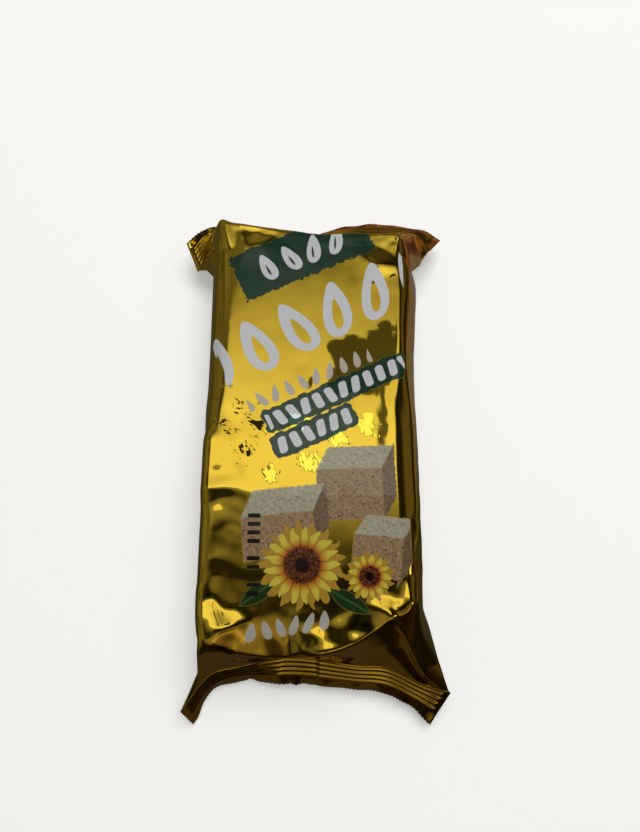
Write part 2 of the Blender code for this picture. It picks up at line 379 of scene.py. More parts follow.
def section(across):
    """The body's outline at places across the film: a wide brick with rounded long edges."""
    rest = np.abs(across)
    top_run = PACK_WIDTH / 2 - TOP_EDGE_RADIUS
    top_turn = np.clip((rest - top_run) / TOP_EDGE_RADIUS, 0.0, QUARTER_TURN)
    side_start = top_run + QUARTER_TURN * TOP_EDGE_RADIUS
    drop = np.clip(rest - side_start, 0.0, SIDE_RISE)
    foot_turn = np.clip((rest - side_start - SIDE_RISE) / FOOT_EDGE_RADIUS, 0.0, QUARTER_TURN)
    under = np.maximum(rest - side_start - SIDE_RISE - QUARTER_TURN * FOOT_EDGE_RADIUS, 0.0)
    x = np.minimum(rest, top_run) + TOP_EDGE_RADIUS * np.sin(top_turn)
    x -= FOOT_EDGE_RADIUS * (1.0 - np.cos(foot_turn)) + under
    z = PACK_HEIGHT - TOP_EDGE_RADIUS * (1.0 - np.cos(top_turn)) - drop
    z -= FOOT_EDGE_RADIUS * np.sin(foot_turn)
    return np.sign(across) * x, np.maximum(z, FLOOR_GAP)


def foot_line(across, end):
    """How far along the film still lies on the block, at places across it."""
    side = np.where(across < 0.0, SIDE_FOOT[end, "left"], SIDE_FOOT[end, "right"])
    rest = np.abs(across)
    top_to_side = blend(TOP_FOOT, side, smooth_step((rest - 30.0) / (EAR - 30.0)))
    return blend(top_to_side, BLOCK_LENGTH / 2, smooth_step((rest - EAR) / 22.0))


class Film:
    """The film's grid of points, row by row from the near cut edge to the far one, with each row's place
    along and how slack it is: 1 where it is free to crease, 0 where it is sealed."""

    def __init__(self):
        self.across = np.linspace(-HALF_GIRTH, HALF_GIRTH, COLUMNS + 1)
        self.on_top = np.abs(self.across) <= EAR + 1e-6
        flat = np.sign(self.across) * (HALF_GIRTH - np.abs(self.across))
        self.place = np.clip(np.where(self.on_top, self.across, flat) / EAR, -1.0, 1.0)
        face, face_along = self.face_rows()
        near = self.end_rows("near", NEAR_INNER, NEAR_OUTER, face[0], NEAR_GUSSET_FOLDS)
        far = self.end_rows("far", FAR_INNER, FAR_OUTER, face[-1], ())
        self.points = np.concatenate([near[0], face, far[0][::-1]])
        self.along = np.concatenate([near[1], face_along, far[1][::-1]])
        self.slack = np.concatenate([near[2], np.ones_like(face_along), far[2][::-1]])

    def face_rows(self):
        """The film on the block and up to the crests beyond its ends, with the printed face's folds."""
        x, z = section(self.across)
        ends = []
        both_ends = (("near", -1.0, NEAR_CREST, NEAR_INNER), ("far", 1.0, FAR_CREST, FAR_INNER))
        for end, way, crest, seal in both_ends:
            foot = np.stack([x, way * foot_line(self.across, end), z], axis=1)
            ends.append((foot, self.crest(crest, foot, smooth_through(seal, self.place))))
        (near_foot, near_crest), (far_foot, far_crest) = ends
        rise = np.linspace(1.0, 0.0, RISE_ROWS, endpoint=False)[:, None, None]
        body = np.linspace(0.0, 1.0, BODY_ROWS + 1)[:, None, None]
        near = blend(near_foot, near_crest, rise)
        far = blend(far_foot, far_crest, rise)[::-1]
        rows = np.concatenate([near, blend(near_foot, far_foot, body), far])
        along = rows[:, :, 1]
        lift = net_height(FACE_FOLDS, FACE_BORDER, rows[:, :, 0], along)
        upper = smooth_step((44.0 - np.abs(self.across)) / 12.0)
        rows[:, :, 2] += lift * upper
        return rows, along

    def crest(self, stations, foot, inner):
        """The named crest on top, and on the underside the middle of a straight fall to the seal."""
        crest = smooth_through(stations, self.place)
        straight = blend(foot, inner, 0.4)
        fade = 1.0 - smooth_step((np.abs(self.across) - EAR) / 14.0)
        for side in (self.across < 0.0, self.across > 0.0):
            lower = side & ~self.on_top
            ear = np.flatnonzero(side & self.on_top)[0 if self.across[side][0] < -1.0 else -1]
            crest[lower] = straight[lower] + (crest[ear] - straight[ear]) * fade[lower, None]
        return crest

    def end_rows(self, end, inner_line, outer_line, crest, folds):
        """The seal's rows, cut edge first, then the gusset's up to the crest."""
        way = -1.0 if end == "near" else 1.0
        inner = smooth_through(inner_line, self.place)
        outer = smooth_through(outer_line, self.place)
        beside = smooth_through(inner_line, self.place + 0.01) - smooth_through(inner_line, self.place - 0.01)
        normal = np.cross(beside, outer - inner) * -way
        normal /= np.linalg.norm(normal, axis=1)[:, None]
        margin = np.linspace(SEAL_HEIGHT, CRIMPED_BAND, MARGIN_ROWS, endpoint=False)
        band = np.linspace(CRIMPED_BAND, 0.0, CRIMP_ROWS, endpoint=False)
        distance = np.concatenate([margin, band])[:, None]
        seal = self.seal_points(end, inner, outer, normal, distance)
        seal_line = inner + normal * (FILM_GAP / 2 * self.layer())[:, None]
        share = np.linspace(1.0, 0.0, DROP_ROWS, endpoint=False)[:, None]
        gusset = blend(crest, seal_line, share[:, :, None])
        if folds:
            across, down = np.broadcast_arrays(self.across, share)
            stand = net_height(folds, GUSSET_BORDER, across, down)
            gusset = gusset + normal * (stand * self.on_top)[:, :, None]
        seal_along = way * (BLOCK_LENGTH / 2 + GUSSET_FILM)
        sealed = np.broadcast_to(seal_along + way * distance, seal.shape[:2])
        along = np.concatenate([sealed, blend(crest[:, 1], seal_along, share)])
        loose = 1.0 - smooth_step((share - 0.55) / 0.45)
        slack = np.concatenate([np.zeros(seal.shape[:2]), np.broadcast_to(loose, gusset.shape[:2])])
        return np.concatenate([seal, gusset]), along, slack

    def layer(self):
        """+1 on the upper film of a seal, -1 on the lower one, 0 at the ears where they meet."""
        return np.where(self.on_top, 1.0, -1.0) * (1.0 - np.abs(self.place) ** 40)

    def seal_points(self, end, inner, outer, normal, distance):
        points = blend(inner, outer, (distance / SEAL_HEIGHT)[:, :, None])
        flat = self.place * EAR
        down = (outer - inner) / np.linalg.norm(outer - inner, axis=1)[:, None]
        ridges = np.arcsin(0.97 * np.sin(2 * math.pi * distance / CRIMP_PITCH)) / QUARTER_TURN
        band = smooth_step((distance - 0.2) / 0.5) * smooth_step((CRIMPED_BAND - distance) / 0.6)
        to_ear = smooth_step((EAR - 2.0 - np.abs(flat)) / 1.5)
        lift = CRIMP_DEPTH * ridges * band * to_ear
        phase = 0.0 if end == "near" else 2.1
        ruffle = np.sin(flat / 3.1 + phase) + 0.6 * np.sin(flat / 1.7 + 1.3 + phase)
        lift = lift + RUFFLE_HEIGHT * ruffle * smooth_step((distance - CRIMPED_BAND) / 5.0)
        if end == "near":
            margin = np.maximum((distance - CRIMPED_BAND) / (SEAL_HEIGHT - CRIMPED_BAND), 0.0)
            for at, reach, height in NEAR_CURLS:
                lift = lift + height * smooth_step(1.0 - np.abs(flat - at) / reach) * margin**1.5
        lift = lift + SEAM_STEP * smooth_step((flat + 10.2) / 0.8) * smooth_step((3.4 - flat) / 0.5)
        lift = lift + FILM_GAP / 2 * self.layer() * (distance < SEAL_HEIGHT - 1e-6)
        points = points + normal * lift[:, :, None]
        tooth = np.where(np.arange(COLUMNS + 1) % 2 == 0, 0.0, -TOOTH_DEPTH)
        reach = smooth_step((distance - (SEAL_HEIGHT - 1.2)) / 1.2)
        return points + down * (tooth * reach)[:, :, None]

    def normals(self):
        points = self.points
        around = np.empty_like(points)
        around[:, 1:-1] = points[:, 2:] - points[:, :-2]
        around[:, 0] = around[:, -1] = points[:, 1] - points[:, -2]
        normal = np.cross(around, np.gradient(points, axis=0))
        return normal / (np.linalg.norm(normal, axis=2)[:, :, None] + 1e-9)

    def push(self, distance):
        """Moves the slack film outwards, and keeps its two long edges together."""
        self.points = self.points + self.normals() * (distance * self.slack)[:, :, None]
        middle = (self.points[:, 0] + self.points[:, -1]) / 2
        self.points[:, 0] = middle
        self.points[:, -1] = middle

    def soften(self, rounds):
        """Rounds every crease of the slack film a little."""
        pull = 0.5 * np.minimum(self.slack * 3.0, 1.0)[:, :, None]
        for _ in range(rounds):
            ring = self.points[:, :-1]
            beside = (np.roll(ring, 1, axis=1) + np.roll(ring, -1, axis=1)) / 2
            beside = np.concatenate([beside, beside[:, :1]], axis=1)
            ahead = self.points.copy()
            ahead[1:-1] = (self.points[2:] + self.points[:-2]) / 2
            self.points = blend(self.points, (beside + ahead) / 2, pull)


def fold_sides(film):
    across = np.broadcast_to(film.across, film.along.shape)
    film.push(net_height(SIDE_FOLDS, SIDE_BORDER, across, film.along))


def swell(film):
    for at_across, at_along, reach_across, reach_along, push in SWELLINGS:
        away = np.hypot((film.across - at_across) / reach_across, (film.along - at_along) / reach_along)
        film.points = film.points + smooth_step(1.0 - away)[:, :, None] * np.array(push)


def crumple_weight(film):
    """How crumpled the film is: smooth in the middle of the face, worse towards the ends and sides."""
    to_end = smooth_step((np.abs(film.along) - 50.0) / 28.0)
    to_side = smooth_step((film.across - 30.0) / 12.0) * np.ones_like(film.along)
    left = np.hypot((film.across + 32.0) / 16.0, (film.along + 42.0) / 34.0)
    worn = smooth_step(1.3 - left)
    weight = 0.06 + 0.9 * np.maximum(np.maximum(0.55 * to_end, 0.4 * to_side), 0.2 * worn)
    under = smooth_step((np.abs(film.across) - 62.0) / 8.0)
    return weight * (1.0 - 0.85 * under)


def film_noise(film, spacing, level):
    """Noise over the film, the same at its two long edges, so that the tube closes."""
    field = np.empty_like(film.along)
    for row, col in np.ndindex(field.shape):
        place = Vector((film.across[col] % (2 * HALF_GIRTH), film.along[row, col], level))
        field[row, col] = noise.noise(place / spacing)
    field[:, -1] = field[:, 0]
    return field


def crumple(film):
    """Sharp creases where the film is crumpled, and slow, faint waves all over it."""
    total = np.zeros_like(film.along)
    for number, (spacing, depth) in enumerate(CRUMPLES):
        total += depth * (np.abs(film_noise(film, spacing, CREASE_LEVEL * number)) - 0.25) * 2.0
    film.push(total * crumple_weight(film) + WAVE_DEPTH * film_noise(film, WAVE_SPACING, WAVE_LEVEL))


def keep_off_floor(film):
    under = np.abs(film.across) > EAR
    lowest = np.where(under, FLOOR_GAP, FLOOR_GAP + 0.2)
    film.points[:, :, 2] = np.maximum(film.points[:, :, 2], lowest)


def film_shape(film):
    """A flat grid with a place on it for every point of film, rolled into the tube and closed."""
    rows = film.points.shape[0] - 1
    sheet = bmesh.new()
    bmesh.ops.create_grid(sheet, x_segments=COLUMNS, y_segments=rows, size=0.5)
    across_steps = np.array([round((vert.co.x + 0.5) * COLUMNS) for vert in sheet.verts])
    along_steps = np.array([round((vert.co.y + 0.5) * rows) for vert in sheet.verts])
    places = sheet.loops.layers.uv.new("film")
    for face in sheet.faces:
        for loop in face.loops:
            col = across_steps[loop.vert.index]
            row = along_steps[loop.vert.index]
            loop[places].uv = (film.across[col] * MM, film.along[row, col] * MM)
    for vert, col, row in zip(sheet.verts, across_steps, along_steps):
        vert.co = Vector(film.points[row, col]) * MM
    on_rim = np.isin(across_steps, (0, COLUMNS)) | np.isin(along_steps, (0, rows))
    rim = [vert for vert, edge in zip(sheet.verts, on_rim) if edge]
    bmesh.ops.remove_doubles(sheet, verts=rim, dist=0.002 * MM)
    bmesh.ops.recalc_face_normals(sheet, faces=sheet.faces)
    return sheet


def add_piece(name, shape, material):
    mesh = bpy.data.meshes.new(name)
    shape.to_mesh(mesh)
    shape.free()
    mesh.shade_smooth()
    mesh.materials.append(material)
    piece = bpy.data.objects.new(name, mesh)
    bpy.context.scene.collection.objects.link(piece)
    return piece


def stand_for_pack(piece):
    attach(piece, "root")
    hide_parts("halva_pack")


def plain_material(name, colour, roughness, metallic=0.0):
    material = bpy.data.materials.new(name)
    material.use_nodes = True
    shader = material.node_tree.nodes["Principled BSDF"]
    shader.inputs["Base Color"].default_value = (*colour, 1.0)
    shader.inputs["Roughness"].default_value = roughness
    shader.inputs["Metallic"].default_value = metallic
    return material


class Field:
    """A number that varies over the film, worked out by shader nodes."""

    def __init__(self, tree, socket):
        self.tree = tree
        self.socket = socket

    def math(self, operation, other=None, third=None):
        node = self.tree.nodes.new("ShaderNodeMath")
        node.operation = operation
        for socket, value in zip(node.inputs, (self, other, third)):
            feed(self.tree, socket, value)
        return Field(self.tree, node.outputs["Value"])

    def __add__(self, other):
        return self.math("ADD", other)

    def __sub__(self, other):
        return self.math("SUBTRACT", other)

    def __mul__(self, other):
        return self.math("MULTIPLY", other)

    def __truediv__(self, other):
        return self.math("DIVIDE", other)

    def __neg__(self):
        return self.math("MULTIPLY", -1.0)

    def __abs__(self):
        return self.math("ABSOLUTE")

    def ramp(self, low, high, start=0.0, end=1.0):
        """Runs from start to end as the number goes from low to high."""
        node = self.tree.nodes.new("ShaderNodeMapRange")
        for socket, value in zip(node.inputs, (self, low, high, start, end)):
            feed(self.tree, socket, value)
        return Field(self.tree, node.outputs["Result"])


def feed(tree, socket, value):
    if isinstance(value, Field):
        tree.links.new(value.socket, socket)
    elif isinstance(value, bpy.types.NodeSocket):
        tree.links.new(value, socket)
    elif value is not None:
        socket.default_value = value


def vector_math(tree, operation, *values):
    node = tree.nodes.new("ShaderNodeVectorMath")
    node.operation = operation
    for socket, value in zip(node.inputs, values):
        feed(tree, socket, value)
    return node.outputs["Value" if operation == "LENGTH" else "Vector"]


def split(tree, vector):
    node = tree.nodes.new("ShaderNodeSeparateXYZ")
    feed(tree, node.inputs["Vector"], vector)
    return Field(tree, node.outputs["X"]), Field(tree, node.outputs["Y"])


def joined(tree, x, y):
    node = tree.nodes.new("ShaderNodeCombineXYZ")
    feed(tree, node.inputs["X"], x)
    feed(tree, node.inputs["Y"], y)
    return node.outputs["Vector"]


def seen_from(tree, place, centre, degrees=0.0, scale=(1.0, 1.0)):
    """The same place, measured from a motif's centre along its own turned axes."""
    node = tree.nodes.new("ShaderNodeMapping")
    node.vector_type = "TEXTURE"
    feed(tree, node.inputs["Vector"], place)
    node.inputs["Location"].default_value = (*centre, 0.0)
    node.inputs["Rotation"].default_value = (0.0, 0.0, math.radians(degrees))
    node.inputs["Scale"].default_value = (*scale, 1.0)
    return node.outputs["Vector"]


def noise_field(tree, place, grain, detail=2.0, shift=0.0):
    node = tree.nodes.new("ShaderNodeTexNoise")
    node.noise_dimensions = "3D"
    feed(tree, node.inputs["Vector"], vector_math(tree, "ADD", place, (shift, shift, shift)))
    node.inputs["Scale"].default_value = 1.0 / grain
    node.inputs["Detail"].default_value = detail
    return Field(tree, node.outputs["Fac"])


def random_field(tree, number, shift=0.0):
    node = tree.nodes.new("ShaderNodeTexWhiteNoise")
    node.noise_dimensions = "1D"
    feed(tree, node.inputs["W"], number + shift)
    return Field(tree, node.outputs["Value"])


def mixed(tree, share, first, second):
    node = tree.nodes.new("ShaderNodeMix")
    node.data_type = "RGBA"
    feed(tree, node.inputs["Factor"], share)
    for name, value in (("A", first), ("B", second)):
        socket = next(s for s in node.inputs if s.name == name and s.type == "RGBA")
        feed(tree, socket, (*value, 1.0) if isinstance(value, tuple) else value)
    return next(s for s in node.outputs if s.type == "RGBA")


def inside(distance, softness=0.12):
    """1 where the distance to an outline is negative, and 0 outside it."""
    return distance.ramp(-softness, softness, 1.0, 0.0)


def slab_distance(tree, place, half_size):
    """Distance to a sharp-cornered box, negative inside it."""
    x, y = split(tree, vector_math(tree, "ABSOLUTE", place))
    return (x - half_size[0]).math("MAXIMUM", y - half_size[1])


def box_distance(tree, place, half_size, radius):
    corner = vector_math(tree, "ABSOLUTE", place)
    past = vector_math(tree, "SUBTRACT", corner, (half_size[0] - radius, half_size[1] - radius, 1.0))
    outside = vector_math(tree, "MAXIMUM", past, (0.0, 0.0, 0.0))
    return Field(tree, vector_math(tree, "LENGTH", outside)) - radius


def seed_distance(tree, place, half_size):
    """A pointed seed standing on its blunt end."""
    x, y = split(tree, place)
    half_wide, half_high = half_size
    taper = (y / half_high).ramp(-1.0, 1.0, 1.12, 0.52)
    round_place = joined(tree, x / (taper * half_wide), y / half_high)
    return (Field(tree, vector_math(tree, "LENGTH", round_place)) - 1.0) * half_wide


def row_of(tree, place, pitch, count, lean):
    """Repeats a motif along a row, each leaning its own way: its place, its number and the row's mask."""
    x, y = split(tree, place)
    number = (x / pitch).math("FLOOR")
    start = x - (number + 0.5) * pitch
    tilt = random_field(tree, number, 0.31).ramp(0.0, 1.0, -lean, lean)
    in_row = inside(abs(x) - pitch * count / 2, 0.01)
    return joined(tree, start + y * tilt, y), number, in_row


class Finish:
    """The film's colour and how much bare metal shows, built up ink by ink."""

    def __init__(self, tree, colour, frame):
        self.tree = tree
        self.colour = colour
        self.frame = frame
        self.bare = None

    def lay(self, mask, colour):
        mask = mask * self.frame
        self.colour = mixed(self.tree, mask, self.colour, colour)
        gap = mask.math("MULTIPLY_ADD", -1.0, 1.0)
        self.bare = gap if self.bare is None else self.bare * gap


WHITE_INK = (0.66, 0.67, 0.71)
GREEN_INK = (0.014, 0.042, 0.024)


def face_only(tree, place):
    """The printed picture ends at the right edge's crease."""
    return split(tree, place)[0].ramp(34.6, 34.8, 1.0, 0.0)


def print_banner(finish, place):
    """A dark green strip with torn ends, and pale seeds along it."""
    tree = finish.tree
    strip = seen_from(tree, place, (-3.6, 65.4), 25.0)
    torn = noise_field(tree, strip, 1.6, 2.0).ramp(0.3, 0.7, -0.8, 0.8)
    edge = slab_distance(tree, strip, (27.0, 10.2)) + torn
    finish.lay(inside(edge), GREEN_INK)
    seeds, _, in_row = row_of(tree, strip, 9.6, 4, 0.5)
    outline = seed_distance(tree, seeds, (3.4, 5.8))
    slit = seed_distance(tree, vector_math(tree, "ADD", seeds, (0.4, 1.2, 0.0)), (0.55, 2.4))
    finish.lay(inside(outline) * inside(-slit) * in_row, WHITE_INK)


def print_large_seeds(finish, place):
    """Five bold white seeds climbing across the face, some open and some solid."""
    tree = finish.tree
    row = seen_from(tree, place, (2.0, 38.0), 27.0)
    seeds, _, in_row = row_of(tree, row, 16.4, 5, 0.42)
    outline = seed_distance(tree, seeds, (6.6, 11.0))
    heart = seed_distance(tree, vector_math(tree, "ADD", seeds, (0.0, 2.0, 0.0)), (2.3, 6.0))
    finish.lay(inside(outline) * inside(-heart) * in_row, WHITE_INK)


def print_small_seeds(finish, row, pitch, count, lean, half_size, ink):
    """A row of small pale seeds."""
    seeds, _, in_row = row_of(finish.tree, row, pitch, count, lean)
    finish.lay(inside(seed_distance(finish.tree, seeds, half_size)) * in_row, ink)


def print_dashes(finish, place, centre, count):
    """White lozenges on a dark green ribbon."""
    tree = finish.tree
    row = seen_from(tree, place, centre, 25.0)
    ribbon = box_distance(tree, row, (count * 2.5 + 1.2, 4.6), 2.2)
    wave = noise_field(tree, row, 3.0, 1.0).ramp(0.3, 0.7, -0.5, 0.5)
    finish.lay(inside(ribbon + wave), GREEN_INK)
    pieces, _, in_row = row_of(tree, row, 5.0, count, 0.35)
    finish.lay(inside(box_distance(tree, pieces, (1.55, 3.0), 1.2)) * in_row, WHITE_INK)


def print_slab(finish, place, centre, degrees, size):
    """A cut block of halva: a pale crumbly top, a tan face and a darker end."""
    tree = finish.tree
    wide, high, deep = size
    skew = 0.55
    local = seen_from(tree, place, centre, degrees)
    crumb = noise_field(tree, local, 1.3, 3.0)
    specks = noise_field(tree, local, 0.75, 2.0, 7.0)
    x, y = split(tree, local)
    rough_edge = crumb.ramp(0.2, 0.8, -0.35, 0.35)
    face = slab_distance(tree, joined(tree, x, y + high / 2 - 0.4), (wide / 2, high / 2 + 0.4)) + rough_edge
    top_place = joined(tree, x - y * skew, y - deep / 2)
    top = slab_distance(tree, top_place, (wide / 2, deep / 2)) + rough_edge
    end_x = x - (wide / 2 + skew * deep / 2)
    end_y = y + high / 2 - (x - wide / 2) / skew
    end_place = joined(tree, end_x + 0.4, end_y)
    end = slab_distance(tree, end_place, (skew * deep / 2 + 0.7, high / 2 + 0.4)) + rough_edge
    dark_specks = specks.ramp(0.60, 0.68)
    tan = mixed(tree, crumb.ramp(0.3, 0.7), (0.22, 0.14, 0.07), (0.40, 0.27, 0.15))
    tan = mixed(tree, dark_specks, tan, (0.05, 0.025, 0.012))
    pale = mixed(tree, crumb.ramp(0.3, 0.7), (0.33, 0.30, 0.20), (0.48, 0.45, 0.34))
    pale = mixed(tree, dark_specks * 0.7, pale, (0.09, 0.07, 0.04))
    shade = mixed(tree, 0.55, tan, (0.06, 0.035, 0.022))
    finish.lay(inside(end, 0.25), shade)
    finish.lay(inside(face, 0.25), tan)
    finish.lay(inside(top, 0.25), pale)


def print_flower(finish, place, centre, radius, petals):
    """A yellow flower with a brown seeded disc."""
    tree = finish.tree
    local = seen_from(tree, place, centre, 0.0)
    x, y = split(tree, local)
    reach = Field(tree, vector_math(tree, "LENGTH", local)) / radius
    angle = y.math("ARCTAN2", x)
    ripple = noise_field(tree, local, 5.0, 1.0).ramp(0.3, 0.7, -0.6, 0.6)
    for layer, (length, tint) in enumerate(((1.0, (0.42, 0.24, 0.03)), (0.86, (0.62, 0.50, 0.06)))):
        swing = abs((angle * (petals / 2) + layer * math.pi / 2 + ripple).math("SINE"))
        tip = swing.ramp(0.0, 1.0, 0.52 * length, length)
        warm = mixed(tree, reach.ramp(0.42, 0.62), (0.42, 0.09, 0.012), tint)
        dark = mixed(tree, swing.ramp(0.0, 0.45), (0.10, 0.055, 0.006), warm)
        finish.lay(inside(reach - tip, 0.02), dark)
    seeds = noise_field(tree, local, 0.8, 2.0, 3.0)
    disc = mixed(tree, seeds.ramp(0.4, 0.6), (0.035, 0.01, 0.006), (0.16, 0.05, 0.015))
    disc = mixed(tree, reach.ramp(0.14, 0.2), (0.012, 0.005, 0.004), disc)
    finish.lay(inside(reach - 0.45 + seeds * 0.08, 0.03), disc)


def print_leaf(finish, place, centre, degrees, half_length):
    tree = finish.tree
    local = seen_from(tree, place, centre, degrees)
    x, y = split(tree, local)
    along = x / half_length
    width = (along * along).ramp(0.0, 1.3, half_length * 0.36, -0.3 * half_length * 0.36)
    green = mixed(tree, inside(abs(y) - 0.3, 0.25), (0.012, 0.035, 0.009), (0.05, 0.10, 0.03))
    finish.lay(inside(abs(y) - width, 0.15), green)


def print_date_marks(finish, place):
    """A column of small black marks, as a date printer leaves."""
    tree = finish.tree
    column = seen_from(tree, place, (-19.2, -49.5), 90.0)
    marks, number, in_row = row_of(tree, column, 2.9, 10, 0.0)
    bar = box_distance(tree, marks, (0.85, 2.3), 0.5)
    broken = abs(bar + 0.45) - 0.33
    kept = random_field(tree, number, 4.0).ramp(0.15, 0.16)
    finish.lay(inside(broken, 0.1) * in_row * kept, (0.008, 0.008, 0.01))


def turned_noise(tree, place, degrees, stretch, grain, shift):
    return noise_field(tree, seen_from(tree, place, (0.0, 0.0), degrees, stretch), grain, 3.0, shift)


def ragged_patches(tree, cover, middle, full_reach, threshold):
    """Patches where the cover passes the threshold, fading out away from their middle."""
    fading = Field(tree, vector_math(tree, "LENGTH", middle)).ramp(full_reach, 1.2, 0.0, 0.4)
    return (cover - fading).ramp(*threshold)


def glossy_patches(tree, place):
    """Ragged patches in the middle of the face, where the film is pressed on the block and faces the lamp."""
    patches = turned_noise(tree, place, 15.0, (1.0, 1.5), 9.0, 11.0)
    bristles = turned_noise(tree, place, 25.0, (0.5, 1.6), 1.6, 5.0)
    middle = seen_from(tree, place, (-1.0, -11.0), 14.0, (32.0, 17.0))
    return ragged_patches(tree, patches + bristles * 0.3, middle, 0.6, (0.665, 0.685))


def dull_patches(tree, place):
    """Ragged patches down the left of the face, where the film is dented and turns from the window."""
    patches = turned_noise(tree, place, -20.0, (1.0, 0.7), 7.0, 31.0)
    bristles = turned_noise(tree, place, 65.0, (0.4, 1.6), 1.4, 15.0)
    middle = seen_from(tree, place, (-27.0, -4.0), 0.0, (24.0, 26.0))
    return ragged_patches(tree, patches + bristles * 0.35, middle, 0.4, (0.76, 0.79))


def film_normal(tree, place, glossy, dull):
    """The patches face a little away from the loose film, and all of it is finely creased."""
    level = tree.nodes.new("ShaderNodeNewGeometry").outputs["Normal"]
    turned = vector_math(tree, "ADD", level, joined(tree, glossy * 0.45, glossy * -0.23 + dull * -0.13))
    streaks = noise_field(tree, seen_from(tree, place, (0.0, 0.0), 8.0, (0.5, 3.0)), 3.0, 2.0, 9.0)
    ripples = noise_field(tree, place, 5.0, 2.0, 3.0)
    bump = tree.nodes.new("ShaderNodeBump")
    bump.inputs["Strength"].default_value = 1.0
    bump.inputs["Distance"].default_value = FINE_CREASE * MM
    feed(tree, bump.inputs["Height"], streaks * 0.12 + ripples)
    feed(tree, bump.inputs["Normal"], vector_math(tree, "NORMALIZE", turned))
    return bump.outputs["Normal"]


def film_material():
    material = bpy.data.materials.new("gold_film")
    material.use_nodes = True
    tree = material.node_tree
    shader = tree.nodes["Principled BSDF"]
    chart = tree.nodes.new("ShaderNodeUVMap")
    chart.uv_map = "film"
    place = vector_math(tree, "MULTIPLY", chart.outputs["UV"], (1 / MM, 1 / MM, 0.0))
    tone = noise_field(tree, place, 30.0, 1.0).ramp(0.3, 0.7)
    gold = mixed(tree, tone, (0.74, 0.47, 0.05), (0.80, 0.54, 0.06))
    finish = Finish(tree, gold, face_only(tree, place))
    print_banner(finish, place)
    print_large_seeds(finish, place)
    face_row = seen_from(tree, place, (-0.5, 13.5), 24.0)
    print_small_seeds(finish, face_row, 5.4, 9, 0.5, (1.6, 3.1), (0.5, 0.47, 0.4))
    print_dashes(finish, place, (9.5, 8.5), 11)
    print_dashes(finish, place, (1.5, -6.0), 6)
    print_slab(finish, place, (13.5, -20.0), 2.0, (23.0, 18.0, 8.0))
    print_slab(finish, place, (-11.5, -36.0), 6.0, (25.0, 15.0, 9.0))
    print_slab(finish, place, (23.5, -43.5), -6.0, (17.0, 14.0, 7.0))
    print_leaf(finish, place, (-17.0, -62.0), 35.0, 8.0)
    print_leaf(finish, place, (13.0, -65.0), -30.0, 8.0)
    print_flower(finish, place, (20.0, -57.0), 8.5, 13)
    print_flower(finish, place, (-2.7, -53.2), 15.0, 17)
    print_date_marks(finish, place)
    end_row = seen_from(tree, place, (-7.5, -73.0), 9.0)
    print_small_seeds(finish, end_row, 5.0, 6, 0.6, (1.9, 3.0), (0.42, 0.4, 0.36))
    glossy = glossy_patches(tree, place)
    dull = dull_patches(tree, place)
    feed(tree, shader.inputs["Base Color"], finish.colour)
    rubbed = finish.bare.math("MAXIMUM", glossy * 0.4)
    feed(tree, shader.inputs["Metallic"], rubbed)
    shader.inputs["Roughness"].default_value = FILM_ROUGHNESS
    shader.inputs["Specular IOR Level"].default_value = 0.5
    feed(tree, shader.inputs["Normal"], film_normal(tree, place, glossy, dull))
    return material


def make_film():
    film = Film()
    swell(film)
    fold_sides(film)
    film.soften(4)
    crumple(film)
    film.soften(1)
    keep_off_floor(film)
    stand_for_pack(add_piece("film", film_shape(film), film_material()))
    return film


def make_back_seam(film):
    """The film's long edges, sealed together and folded flat under the block, with fine lengthwise ridges."""
    sealed = MARGIN_ROWS + CRIMP_ROWS
    under = film.points[sealed:-sealed]
    out = film.normals()[sealed:-sealed]
    rows = len(under) - 1
    strip = bmesh.new()
    bmesh.ops.create_grid(strip, x_segments=SEAM_COLUMNS, y_segments=rows, size=0.5)
    for vert in strip.verts:
        x = SEAM_LEFT + (vert.co.x + 0.5) * (SEAM_RIGHT - SEAM_LEFT)
        row = round((vert.co.y + 0.5) * rows)
        column, share = divmod(-x * COLUMNS / (2 * HALF_GIRTH) % COLUMNS, 1.0)
        at = blend(under[row, int(column)], under[row, int(column) + 1], share)
        ridge = SEAM_RIDGE * math.sin(2 * math.pi * x / SEAM_RIDGE_PITCH)
        vert.co = Vector(at + out[row, int(column)] * (SEAM_LAYERS / 2 + 0.05 + ridge)) * MM
    bmesh.ops.solidify(strip, geom=strip.faces[:], thickness=SEAM_LAYERS * MM)
    bmesh.ops.recalc_face_normals(strip, faces=strip.faces)
    bare_gold = plain_material("bare_gold", (0.72, 0.45, 0.05), 0.25, 1.0)
    stand_for_pack(add_piece("back_seam", strip, bare_gold))


def make_floor():
    sheet = bmesh.new()
    bmesh.ops.create_grid(sheet, x_segments=1, y_segments=1, size=2.0)
    floor = add_piece("floor", sheet, floor_material())


